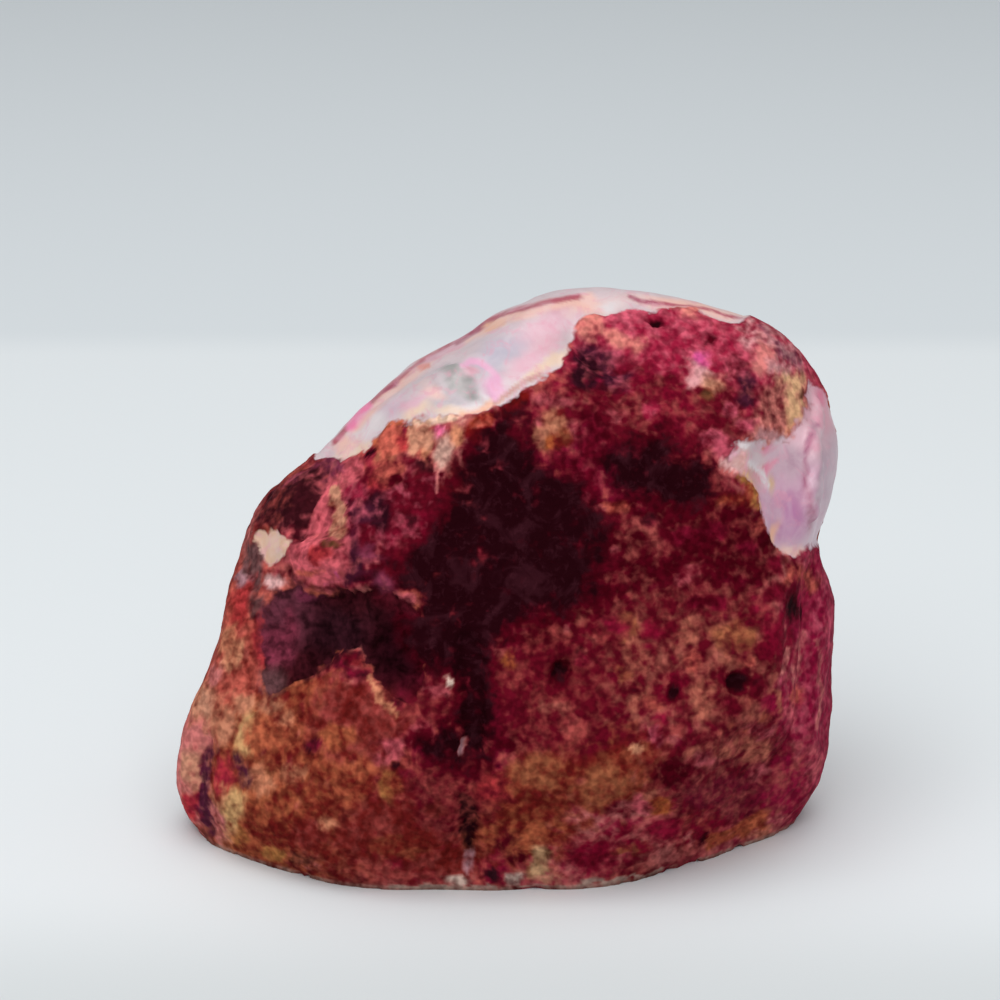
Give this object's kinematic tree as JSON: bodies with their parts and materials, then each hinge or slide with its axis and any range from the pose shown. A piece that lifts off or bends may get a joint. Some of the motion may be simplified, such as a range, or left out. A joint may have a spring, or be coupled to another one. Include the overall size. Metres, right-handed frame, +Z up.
{
  "type": "dyed agate specimen",
  "caption": "Rough agate nodule dyed crimson, sawn flat underneath so that it stands, with two pale broken windows in its rind.",
  "frame": {"origin": "middle of the stone's box, on the sawn base that it rests on", "axes": "+Z up from the base, +X across the broad face from left to right, -Y the way the broad face looks"},
  "size_m": [0.0792, 0.056, 0.0648],
  "materials": {
    "dyed_agate": "weathered rind dyed crimson, near-black and tan, with a dull natural sheen; pale waxy chalcedony where it is broken"
  },
  "bodies": {
    "root": {"agate_stone": "dyed_agate"}
  },
  "joints": []
}
